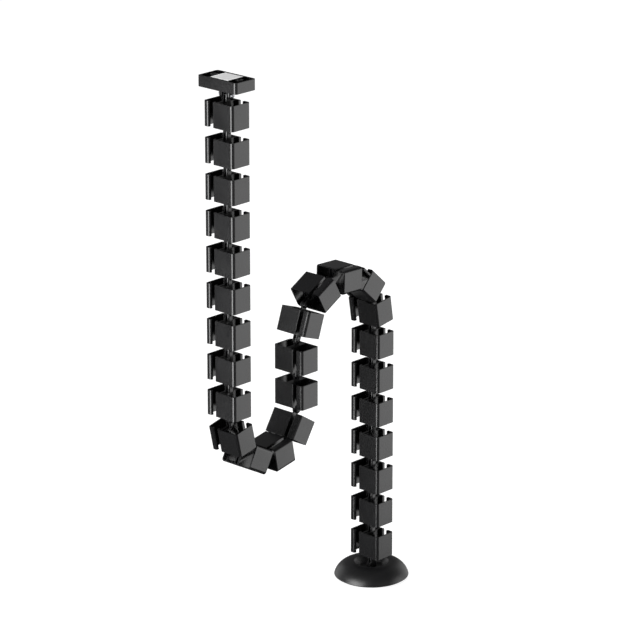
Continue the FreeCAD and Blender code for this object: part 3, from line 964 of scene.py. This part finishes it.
def photograph_camera():
    """The camera at the photograph's place, angle and lens."""
    turn, tilt = math.radians(AZIMUTH), math.radians(ELEVATION)
    right = Vector((math.cos(turn), math.sin(turn), 0))
    ahead = Vector((-math.sin(turn), math.cos(turn), 0))
    forward = ahead * math.cos(tilt) - Vector((0, 0, math.sin(tilt)))
    up = ahead * math.sin(tilt) + Vector((0, 0, math.cos(tilt)))
    centre = hinges[-1] + right * AIM_RIGHT + up * AIM_UP - forward * DISTANCE
    data = bpy.data.cameras.new("camera")
    data.sensor_width = SENSOR
    data.lens = SENSOR * FOCAL_PIXELS / PICTURE
    data.clip_start, data.clip_end = 0.1, 100.0
    camera = bpy.data.objects.new("camera", data)
    bpy.context.scene.collection.objects.link(camera)
    axes = Matrix((right, up, -forward)).transposed().to_4x4()
    camera.matrix_world = Matrix.Translation(centre) @ axes
    bpy.context.scene.camera = camera


photograph_camera()
print("lens:", round(SENSOR * FOCAL_PIXELS / PICTURE, 1), "mm on a", SENSOR, "mm sensor")

# %% [markdown]
# ## Who sees the white
# The background is white by its own colour, not by more light on the object. The camera sees the floor and
# the world at full white. Reflections see only a tenth of the world's white, because the plastic in the
# picture reflects a dark room, and at full white every black face would turn grey.

# %% Who sees the white
REFLECTED_WHITE = 0.1


def seen_directly(tree):
    """1 for camera and transmission rays, a little for glossy ones, 0 for the rest."""
    path = add_node(tree, "ShaderNodeLightPath")
    glossy = add_node(tree, "ShaderNodeMath", {"operation": "MULTIPLY"})
    tree.links.new(path.outputs["Is Glossy Ray"], glossy.inputs[0])
    glossy.inputs[1].default_value = REFLECTED_WHITE
    result = glossy.outputs[0]
    for kind in ("Is Camera Ray", "Is Transmission Ray"):
        either = add_node(tree, "ShaderNodeMath", {"operation": "MAXIMUM"})
        tree.links.new(path.outputs[kind], either.inputs[0])
        tree.links.new(result, either.inputs[1])
        result = either.outputs[0]
    return result


print("white seen in reflections:", REFLECTED_WHITE, "of the full value")

# %% [markdown]
# ## White floor
# The floor is one wide plane. Close to the base it gives up a little of its white, so that the soft shadow
# still shows. Reflections don't see it at all, and to scattered light it is a plain grey.

# %% White floor
FLOOR_SIZE, SHADOW_NEAR, SHADOW_FAR, SHADOW_WHITE = 12.0, 0.3, 1.6, 0.9


def white_floor(size):
    """A wide white floor that keeps a soft shadow near the base."""
    shape = bmesh.new()
    bmesh.ops.create_grid(shape, x_segments=1, y_segments=1, size=size)
    material, tree, output = new_material("white_floor")
    where = add_node(tree, "ShaderNodeTexCoord").outputs["Object"]
    far = add_node(tree, "ShaderNodeVectorMath", {"operation": "LENGTH"}, Vector=where)
    glow = add_node(tree, "ShaderNodeMapRange",
                    {"From Min": SHADOW_NEAR, "From Max": SHADOW_FAR, "To Min": SHADOW_WHITE, "To Max": 1.0},
                    Value=far.outputs["Value"])
    own = add_node(tree, "ShaderNodeEmission", {"Color": (1, 1, 1, 1)}, Strength=glow.outputs["Result"])
    paint = add_node(tree, "ShaderNodeBsdfDiffuse", {"Color": (0.3, 0.3, 0.3, 1)})
    both = tree.nodes.new("ShaderNodeAddShader")
    tree.links.new(own.outputs[0], both.inputs[0])
    tree.links.new(paint.outputs[0], both.inputs[1])
    plain = add_node(tree, "ShaderNodeBsdfDiffuse", {"Color": (0.5, 0.5, 0.5, 1)})
    mix = tree.nodes.new("ShaderNodeMixShader")
    tree.links.new(seen_directly(tree), mix.inputs[0])
    tree.links.new(plain.outputs[0], mix.inputs[1])
    tree.links.new(both.outputs[0], mix.inputs[2])
    tree.links.new(mix.outputs[0], output.inputs["Surface"])
    floor = to_object(shape, "floor", material)
    floor.visible_glossy = False


white_floor(FLOOR_SIZE)
print("floor:", 2 * FLOOR_SIZE, "m across")

# %% [markdown]
# ## World
# The world is the white beyond the floor. As a lamp it is only a dim and even room, which fills the shadows a
# little.

# %% World
ROOM_LEVEL = 0.05


def studio_world(level):
    """White to the camera, and a dim plain room in reflections and for the fill."""
    world = bpy.data.worlds.new("studio")
    bpy.context.scene.world = world
    world.use_nodes = True
    tree = world.node_tree
    tree.nodes.clear()
    strength = add_node(tree, "ShaderNodeMapRange", {"To Min": level, "To Max": 1.0},
                        Value=seen_directly(tree))
    sky = add_node(tree, "ShaderNodeBackground", {"Color": (1, 1, 1, 1)},
                   Strength=strength.outputs["Result"])
    output = tree.nodes.new("ShaderNodeOutputWorld")
    tree.links.new(sky.outputs[0], output.inputs["Surface"])


studio_world(ROOM_LEVEL)
print("level of the room:", ROOM_LEVEL)

# %% [markdown]
# ## Soft lamps
# Black plastic shows mostly what it reflects, so the lamps are large and far enough to reflect evenly. The
# one on the left, towards the camera, draws the bright line down every rounded corner. The one on the right
# lights the narrow faces, and the gap between them is the dark line beside each highlight. A lamp overhead
# lights the pad. The three dim ones only keep the spine readable from its other sides.

# %% Lamps
MIDDLE_X = -134 * MM


def softbox(name, bearing, distance, bottom, top, width, radiance):
    """A soft lamp of a given brightness, all in metres. The bearing is in degrees from -X towards -Y."""
    middle = Vector((MIDDLE_X, 0, (bottom + top) / 2))
    angle = math.radians(bearing)
    towards = Vector((math.cos(angle), math.sin(angle), 0))
    data = bpy.data.lights.new(name, "AREA")
    data.shape = "RECTANGLE"
    data.size, data.size_y = width, top - bottom
    data.energy = radiance * math.pi * width * (top - bottom)
    lamp = bpy.data.objects.new(name, data)
    bpy.context.scene.collection.objects.link(lamp)
    lamp.location = middle - towards * distance
    lamp.rotation_euler = towards.to_track_quat("-Z", "Y").to_euler()
    lamp.visible_camera = False


def overhead_lamp(height, width, radiance):
    """A soft lamp straight above, for the faces that look up. It leaves no reflection of its own."""
    data = bpy.data.lights.new("overhead", "AREA")
    data.size = width
    data.energy = radiance * math.pi * width * width
    lamp = bpy.data.objects.new("overhead", data)
    bpy.context.scene.collection.objects.link(lamp)
    lamp.location = (MIDDLE_X, 0, height)
    lamp.visible_camera = False
    lamp.visible_glossy = False


softbox("left_softbox", -8, 2.0, -0.62, 1.2, 1.6, 11.5)
softbox("right_softbox", 137, 2.0, -0.74, 0.75, 1.6, 2.5)
softbox("front_softbox", 78, 2.4, -0.74, 1.2, 1.6, 0.5)
softbox("back_softbox", 268, 2.2, -0.74, 1.2, 1.6, 1.1)
softbox("far_softbox", 182, 2.2, -0.74, 1.2, 1.4, 1.1)
overhead_lamp(2.6, 1.2, 8.0)
bpy.context.scene.view_settings.view_transform = "Standard"
print("lamps:", len(bpy.data.lights))
